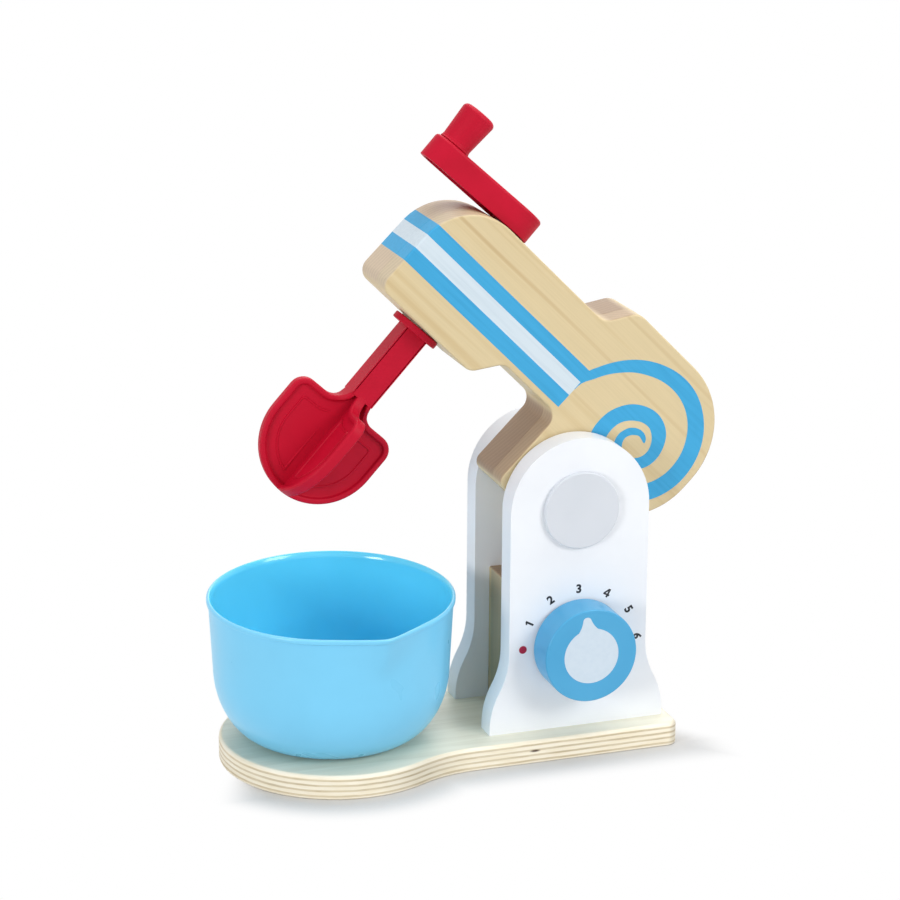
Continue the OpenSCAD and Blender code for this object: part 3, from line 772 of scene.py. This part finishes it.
def figure(number):
    """A bold figure, flat and round its own middle, in mm."""
    bm = bmesh.new()
    if number in DRAWN:
        for outline in DRAWN[number]:
            verts = [bm.verts.new((x, y, 0)) for x, y in outline]
            for pair in zip(verts, verts[1:] + verts[:1]):
                bm.edges.new(pair)
        bmesh.ops.triangle_fill(bm, use_beauty=True, edges=bm.edges)
        return bm
    text = bpy.data.curves.new(f"number_{number}", "FONT")
    text.body = str(number)
    text.size = NUMBER_H
    text.offset = 0.24
    text.resolution_u = 6
    text.align_x = "CENTER"
    text.align_y = "CENTER"
    drawn = bpy.data.objects.new(f"number_{number}_text", text)
    bm.from_mesh(drawn.to_mesh())
    drawn.to_mesh_clear()
    bpy.data.objects.remove(drawn)
    bmesh.ops.remove_doubles(bm, verts=bm.verts, dist=1e-4)
    return bm


for number, (bearing, ring) in enumerate(NUMBERS, 1):
    bm = figure(number)
    bmesh.ops.translate(bm, verts=bm.verts, vec=(0, ring, 0))
    around = Matrix.Rotation(math.radians(bearing - 90), 3, "Z")
    bmesh.ops.rotate(bm, verts=bm.verts, matrix=around)
    bmesh.ops.translate(bm, verts=bm.verts, vec=NUMBER_SHIFT)
    face_print(f"dial_number_{number}", bm, face_y, "stand", ink_black)
DOT_R = 2
DOT_RING = 28.75
dot = bmesh.new()
bmesh.ops.create_circle(dot, cap_ends=True, radius=DOT_R, segments=40)
bmesh.ops.translate(dot, verts=dot.verts, vec=(-DOT_RING, 0, 0))
face_print("dial_start_dot", dot, face_y, "stand", ink_red)

# Crank

ARM_TOP = 75.26 * MM
ARM_EASE = 1.6
eased(
    "crank_lever",
    "crank_arm",
    "crank",
    [red_plastic],
    ARM_EASE * MM,
    40 * MM,
    lambda c: (c - CHIN).dot(on_crank.col[2].xyz) > ARM_TOP - 0.1 * MM,
)


def turned(profile, steps, matrix):
    """A closed body of revolution about Z from (radius, height) points in mm."""
    bm = bmesh.new()
    verts = [bm.verts.new((r * MM, 0, z * MM)) for r, z in profile]
    edges = [bm.edges.new(pair) for pair in zip(verts, verts[1:])]
    bmesh.ops.spin(
        bm,
        geom=verts + edges,
        cent=(0, 0, 0),
        axis=(0, 0, 1),
        angle=math.tau,
        steps=steps,
        use_merge=True,
    )
    bmesh.ops.remove_doubles(bm, verts=bm.verts, dist=1e-6)
    bmesh.ops.recalc_face_normals(bm, faces=bm.faces)
    bmesh.ops.transform(bm, matrix=matrix, verts=bm.verts)
    return bm


def arc(centre, radius, start, end, steps):
    """Points of an arc, angles in degrees."""
    turns = [math.radians(start + (end - start) * i / steps) for i in range(steps + 1)]
    return [(centre[0] + radius * math.cos(t), centre[1] + radius * math.sin(t)) for t in turns]


KNOB_FOOT = 0.3
KNOB_TOP = KNOB_FOOT + 20
knob_profile = (
    [(3.2, KNOB_FOOT + 8), (3.2, KNOB_FOOT)]
    + arc((7.7, KNOB_FOOT + 0.6), 0.6, -90, 60, 5)
    + arc((8.1, KNOB_FOOT + 2.2), 0.25, -130, -180, 2)
    + arc((6.5, KNOB_TOP - 2.5), 2.5, 4, 90, 8)
    + [(0, KNOB_TOP)]
)
piece(
    "crank_grip_knob",
    turned(knob_profile, 64, on_grip),
    "crank_grip",
    [red_plastic],
    ["crank_knob"],
)

# Beater

BEATER_TURN = math.radians(5)
BLADE_HALF = 30.3
BLADE_TOP = -51.6
BLADE_ROUND = -71.9
SHOULDER_R = 7.5
SHANK_HALF = 6.5
SHANK_END = -44.5
SHANK_L = 42
NECK_R = 8.5
NECK_TOP = BLADE_TOP + NECK_R
WEB_HALF = 0.75
# Bead along a blade's edge and the fillet inside it, as distances from the edge and heights
RIM = (
    [(0, 0), (0, 1.8)]
    + [(0.9 - 0.9 * math.cos(t), 1.8 + 0.9 * math.sin(t)) for t in (0.5, 1.0, 1.57)]
    + [(2.1, 2.7), (2.6, 2.4), (2.9, 1.6), (3.3, 1.0), (4.0, WEB_HALF)]
)
# Narrow ridge round a panel in the middle of each half-blade
PANEL = (
    (8.0, 0),
    (8.0, WEB_HALF),
    (8.3, WEB_HALF + 0.5),
    (8.8, WEB_HALF + 0.5),
    (9.1, WEB_HALF + 0.1),
)
PANEL_EDGE = 5.2


def half_blade(inset, middle):
    """Outline of half a blade, drawn inset all round and up to a line beside the middle."""
    low_r = BLADE_HALF - inset
    shoulder_r = max(SHOULDER_R - inset, 1.5)
    neck_r = NECK_R + inset
    reach = min(1.0, (SHANK_HALF + NECK_R - middle) / neck_r)
    points = arc((0, BLADE_ROUND), low_r, math.degrees(math.asin(middle / low_r)) - 90, 0, 24)
    shoulder = (BLADE_HALF - inset - shoulder_r, BLADE_TOP - inset - shoulder_r)
    points += arc(shoulder, shoulder_r, 0, 90, 8)
    neck_end = 180 + math.degrees(math.acos(reach))
    points += arc((SHANK_HALF + NECK_R, NECK_TOP), neck_r, 270, neck_end, 8)
    if middle == 0:
        points += [(SHANK_HALF - inset - 0.4, NECK_TOP + 1.5), (0, NECK_TOP + 1.5)]
    return points


def stepped(bm, rings):
    """Raises a closed outline in steps of (points, height), and closes the last one."""
    place = bm.verts.layers.int.new("place")
    points, height = rings[0]
    loop = [bm.verts.new((x, height, z)) for x, z in points]
    for i, vert in enumerate(loop):
        vert[place] = i
    edges = [bm.edges.new(pair) for pair in zip(loop, loop[1:] + loop[:1])]
    for points, height in rings[1:]:
        grown = bmesh.ops.extrude_edge_only(bm, edges=edges)["geom"]
        edges = [g for g in grown if isinstance(g, bmesh.types.BMEdge)]
        for vert in {v for e in edges for v in e.verts}:
            x, z = points[vert[place]]
            vert.co = (x, height, z)
    bmesh.ops.contextual_create(bm, geom=edges)


def joined(bm, part):
    """Adds one bmesh to another."""
    held = bpy.data.meshes.new("held")
    part.to_mesh(held)
    part.free()
    bm.from_mesh(held)
    bpy.data.meshes.remove(held)


# How much thicker a blade's neck grows where it runs into the shank, for each pair of half-blades
FLARE = (1.35, 0.0)
FLARE_FROM = BLADE_TOP - 1
FLARE_RUN = 6
beater = bmesh.new()
for quarter in range(4):
    for rings in (
        [(half_blade(inset, 0), height) for inset, height in RIM],
        [(half_blade(inset, PANEL_EDGE + inset - PANEL[0][0]), height) for inset, height in PANEL],
    ):
        blade = bmesh.new()
        stepped(blade, rings)
        whole = blade.verts[:] + blade.edges[:] + blade.faces[:]
        bmesh.ops.mirror(blade, geom=whole, axis="Y", merge_dist=1e-4)
        bmesh.ops.recalc_face_normals(blade, faces=blade.faces)
        for vert in blade.verts:
            nearness = min(1.0, max(0.0, (SHANK_HALF + NECK_R - vert.co.x) / NECK_R))
            rise = min(1.0, max(0.0, (vert.co.z - FLARE_FROM) / FLARE_RUN))
            vert.co.y *= 1 + FLARE[quarter % 2] * nearness**2 * rise
        around = Matrix.Rotation(quarter * math.pi / 2, 3, "Z")
        bmesh.ops.rotate(blade, verts=blade.verts, matrix=around)
        joined(beater, blade)

# Square shank with a groove beside each edge, and the collar above it
LAND = SHANK_HALF - 0.45
GROOVE = LAND - 0.5
GROOVE_FLOOR = SHANK_HALF - 1.1
half_section = [
    (SHANK_HALF, SHANK_HALF),
    (LAND, SHANK_HALF),
    (LAND, GROOVE_FLOOR),
    (GROOVE, GROOVE_FLOOR),
    (GROOVE, SHANK_HALF),
]
half_section += [(-x, y) for x, y in reversed(half_section)]
section = half_section + [(-x, -y) for x, y in half_section]
shank = bmesh.new()
foot = shank.faces.new([shank.verts.new((x, y, SHANK_END)) for x, y in section])
grown = bmesh.ops.extrude_face_region(shank, geom=[foot])["geom"]
top = next(g for g in grown if isinstance(g, bmesh.types.BMFace))
bmesh.ops.translate(shank, verts=top.verts, vec=(0, 0, SHANK_L))
bmesh.ops.recalc_face_normals(shank, faces=shank.faces)
joined(beater, shank)
collar_profile = (
    [(0, -0.62)]
    + arc((12.0, -1.22), 0.6, 90, 0, 4)
    + arc((12.0, -3.3), 0.6, 0, -90, 4)
    + [(0, -3.9)]
)
joined(beater, turned(collar_profile, 64, Matrix.Scale(1 / MM, 4)))
in_beater = on_crank @ Matrix.Rotation(BEATER_TURN, 4, "Z")
bmesh.ops.transform(beater, matrix=in_beater @ Matrix.Scale(MM, 4), verts=beater.verts)
piece("paddle_beater", beater, "crank", [red_plastic], ["beater"], smooth=32)

# Flange of the lower bush, between the chin and the collar
flange_profile = [(3, 1.5), (9.6, 1.5), (9.6, -0.5), (3, -0.5), (3, 1.5)]
flange = turned(flange_profile, 48, on_crank)
piece("lower_bush_flange", flange, "head", [white_nylon])

# Bowl

bowl_low, bowl_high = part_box("bowl")
BOWL_X = (bowl_low.x + bowl_high.x) / 2
RIM_R = 60.3
BOWL_H = 72.4
WALL = 2.2
LIP_STEP = 0.9
WALL_R = RIM_R - LIP_STEP - 1.7
FLAT_R = 33.5
CURVE_H = 36
SPOUT_BEARING = math.radians(-82.5)
SPOUT_REACH = 7.6
SPOUT_H = 25
SPOUT_INSIDE = 40
SPOUT_ROUND = math.radians(3.6)
SPOUT_BLEND = math.radians(0.4)
RIM_WALL = 2.6
RIM_FLARE = 6


def bowl_side(inset, steps):
    """Side view of the bowl's wall, from the flat bottom to the rim."""
    turns = [math.pi / 2 * i / steps for i in range(steps + 1)]
    return [
        (
            FLAT_R + (WALL_R - FLAT_R - inset) * math.sin(t),
            CURVE_H - (CURVE_H - inset) * math.cos(t),
        )
        for t in turns
    ]


def along(start, end, steps):
    """Points between two others, the end left out."""
    return [tuple(a + (b - a) * i / steps for a, b in zip(start, end)) for i in range(1, steps)]


outer_foot = bowl_side(0, 18)
inner_foot = bowl_side(WALL, 18)
under_lip = (RIM_R - LIP_STEP, BOWL_H - 3.0)
# The wall's inner edge, opened out in a large round
flare = arc((RIM_R - RIM_WALL + RIM_FLARE, BOWL_H - 3.67), RIM_FLARE, 147, 180, 6)
bowl_profile = (
    [(0, 0.5), (FLAT_R - 6, 0.5), (FLAT_R - 4.5, 0)]
    + outer_foot
    + along(outer_foot[-1], under_lip, 10)
    + [under_lip]
    + arc((RIM_R - 0.7, BOWL_H - 2.1), 0.7, -60, 0, 3)
    + arc((RIM_R - 1.1, BOWL_H - 1.1), 1.1, 0, 90, 5)
    + [(RIM_R - 1.45, BOWL_H - 0.12)]
    + flare
    + along(flare[-1], inner_foot[-1], 10)
    + inner_foot[::-1]
    + [(0, WALL)]
)
bowl = turned(bowl_profile, 288, Matrix.Identity(4))
# The rim slopes down towards this bearing
RIM_DROP = 3.0
LOW_BEARING = math.radians(-108)
for vert in bowl.verts:
    height = vert.co.z / MM
    toward = vert.co.x * math.cos(LOW_BEARING) + vert.co.y * math.sin(LOW_BEARING)
    vert.co.z -= RIM_DROP * MM * (height / BOWL_H) ** 2 * (0.5 + toward / MM / RIM_R / 2)
    radius = math.hypot(vert.co.x, vert.co.y)
    reach = SPOUT_REACH * max(0.0, 1 - (BOWL_H - height) / SPOUT_H)
    if reach <= 0 or radius < SPOUT_INSIDE * MM:
        continue
    off = abs((math.atan2(vert.co.y, vert.co.x) - SPOUT_BEARING + math.pi) % math.tau - math.pi)
    spread = math.acos(RIM_R / (RIM_R + reach))
    lean = spread - math.hypot(off, SPOUT_ROUND) + SPOUT_BLEND
    if lean > 0:
        vert.co.xy *= 1 / math.cos(lean)
for face in bowl.faces:
    at = face.calc_center_median()
    inward = face.normal.xy.dot(at.xy) < 0 or (face.normal.z > 0.3 and at.z < BOWL_H * MM / 2)
    face.material_index = 1 if inward else 0
bmesh.ops.translate(bowl, verts=bowl.verts, vec=(BOWL_X, 0, bowl_low.z))
piece("mixing_bowl", bowl, "bowl", [bowl_plastic, bowl_inside_lit], ["bowl"], smooth=50)

# CAD nodes that stay as they are, with their finishes

FINISHES = {
    steel: (
        "pivot_bolt",
        "pivot_nut",
        "pivot_washers",
        "base_screws",
        "dial_retainer",
        "crank_screw",
        "drive_shaft",
        "knob_stud",
    ),
    white_nylon: ("friction_washers", "dial_washer"),
    # The bushes' black also darkens the gap between the collar and the chin, in part as painted
    # shade
    black_nylon: ("upper_bush", "lower_bush"),
    shaded_pine_block: ("stop_dowel", "dial_axle"),
}
for material, names in FINISHES.items():
    for name in names:
        nodes[name].data.materials.clear()
        nodes[name].data.materials.append(material)

# Studio: a white sweep, soft boxes and the camera at the photograph's angle


def seeing(tree):
    """1 for the rays that show the white background, 0 for those that light the object."""
    path = add(tree, "LightPath").outputs
    seen = add(
        tree,
        "Math",
        {0: path["Is Camera Ray"], 1: path["Is Glossy Ray"]},
        operation="MAXIMUM",
    )
    return add(tree, "Math", {0: seen, 1: path["Is Transmission Ray"]}, operation="MAXIMUM")


floor = bmesh.new()
bmesh.ops.create_grid(floor, x_segments=1, y_segments=1, size=6)
floor_mesh = bpy.data.meshes.new("studio_floor")
floor.to_mesh(floor_mesh)
floor.free()
floor_object = bpy.data.objects.new("studio_floor", floor_mesh)
bpy.context.scene.collection.objects.link(floor_object)
# Matt white paper that takes the soft shadow round the base and goes over into the white
# background
paper = bpy.data.materials.new("matt_white_paper")
tree = cleared(paper)
place = add(tree, "TexCoord").outputs["Object"]
from_round = add(tree, "VectorMath", {0: place, 1: (-53 * MM, 0, 0)}, operation="DISTANCE")
past_round = add(tree, "Math", {0: from_round.outputs["Value"], 1: 58 * MM}, operation="SUBTRACT")
from_narrow = add(tree, "VectorMath", {0: place, 1: (29 * MM, 0, 0)}, operation="SUBTRACT")
beside = add(tree, "VectorMath", {0: from_narrow}, operation="ABSOLUTE")
past_sides = add(tree, "VectorMath", {0: beside, 1: (82 * MM, 43.5 * MM, 0)}, operation="SUBTRACT")
sides = add(tree, "SeparateXYZ", {"Vector": past_sides})
past_narrow = add(tree, "Math", {0: sides.outputs["X"], 1: sides.outputs["Y"]}, operation="MAXIMUM")
away = add(tree, "Math", {0: past_round, 1: past_narrow}, operation="MINIMUM")
# The shadow lies towards the front, so the white begins at once behind and beside the base
across = add(tree, "SeparateXYZ", {"Vector": place})
behind = add(
    tree,
    "MapRange",
    {"Value": across.outputs["Y"], "From Min": -42 * MM, "From Max": 5 * MM, "To Max": 36 * MM},
)
past = add(tree, "Math", {0: away, 1: behind}, operation="ADD")
fade = add(
    tree,
    "MapRange",
    {"Value": past, "From Min": 0, "From Max": 28 * MM},
    interpolation_type="SMOOTHERSTEP",
)
blank = add(tree, "Math", {0: fade, 1: seeing(tree)}, operation="MULTIPLY")
sheet = add(
    tree,
    "BsdfPrincipled",
    {"Base Color": colour("#CDCDCD"), "Roughness": 0.9, "Specular IOR Level": 0.1},
)
glow = add(tree, "Emission", {"Color": (1, 1, 1, 1), "Strength": 1.0})
both = add(tree, "MixShader", {0: blank, 1: sheet, 2: glow})
add(tree, "OutputMaterial", {"Surface": both})
floor_mesh.materials.append(paper)

# The world lights softly, and shows as plain white itself
AMBIENT = 0.43
world = bpy.data.worlds.new("studio")
bpy.context.scene.world = world
sky = cleared(world)
strength = add(sky, "MapRange", {"Value": seeing(sky), "To Min": AMBIENT, "To Max": 1.0})
light = add(sky, "Background", {"Color": (1, 1, 1, 1), "Strength": strength})
add(sky, "OutputWorld", {"Surface": light})


def soft_box(name, place, aim, width, power):
    """A square soft box turned to a point, its width in metres and its power in watts."""
    lamp = bpy.data.lights.new(name, "AREA")
    lamp.shape = "SQUARE"
    lamp.size = width
    lamp.energy = power
    made = bpy.data.objects.new(name, lamp)
    bpy.context.scene.collection.objects.link(made)
    made.location = place
    made.rotation_euler = (Vector(aim) - Vector(place)).to_track_quat("-Z", "Y").to_euler()


AIM = (0, 0, 0.14)
soft_box("key_box", (1.15, -1.45, 1.05), AIM, 0.8, 17.2)
soft_box("top_box", (0.4, 0.1, 1.9), AIM, 1.6, 22)
soft_box("left_box", (-1.6, -0.9, 0.45), AIM, 0.5, 12.8)
soft_box("back_box", (0.8, 1.4, 1.1), AIM, 1.2, 6)

camera = bpy.data.cameras.new("photo_camera")
camera.sensor_width = 36
camera.lens = 115.97
camera.clip_end = 50
YAW, PITCH, ROLL = math.radians(19.2346), math.radians(17.0387), math.radians(-0.395)
ahead = Vector(
    (math.sin(YAW) * math.cos(PITCH), math.cos(YAW) * math.cos(PITCH), -math.sin(PITCH))
)
right = Vector((math.cos(YAW), -math.sin(YAW), 0))
up = right.cross(ahead)
tilted_right = right * math.cos(ROLL) - up * math.sin(ROLL)
tilted_up = right * math.sin(ROLL) + up * math.cos(ROLL)
view = Matrix((tilted_right, tilted_up, -ahead)).transposed().to_4x4()
view.translation = Vector((-0.436726, -1.265241, 0.560821))
camera_object = bpy.data.objects.new("photo_camera", camera)
bpy.context.scene.collection.objects.link(camera_object)
camera_object.matrix_world = view
bpy.context.scene.camera = camera_object
bpy.context.scene.view_settings.view_transform = "Standard"
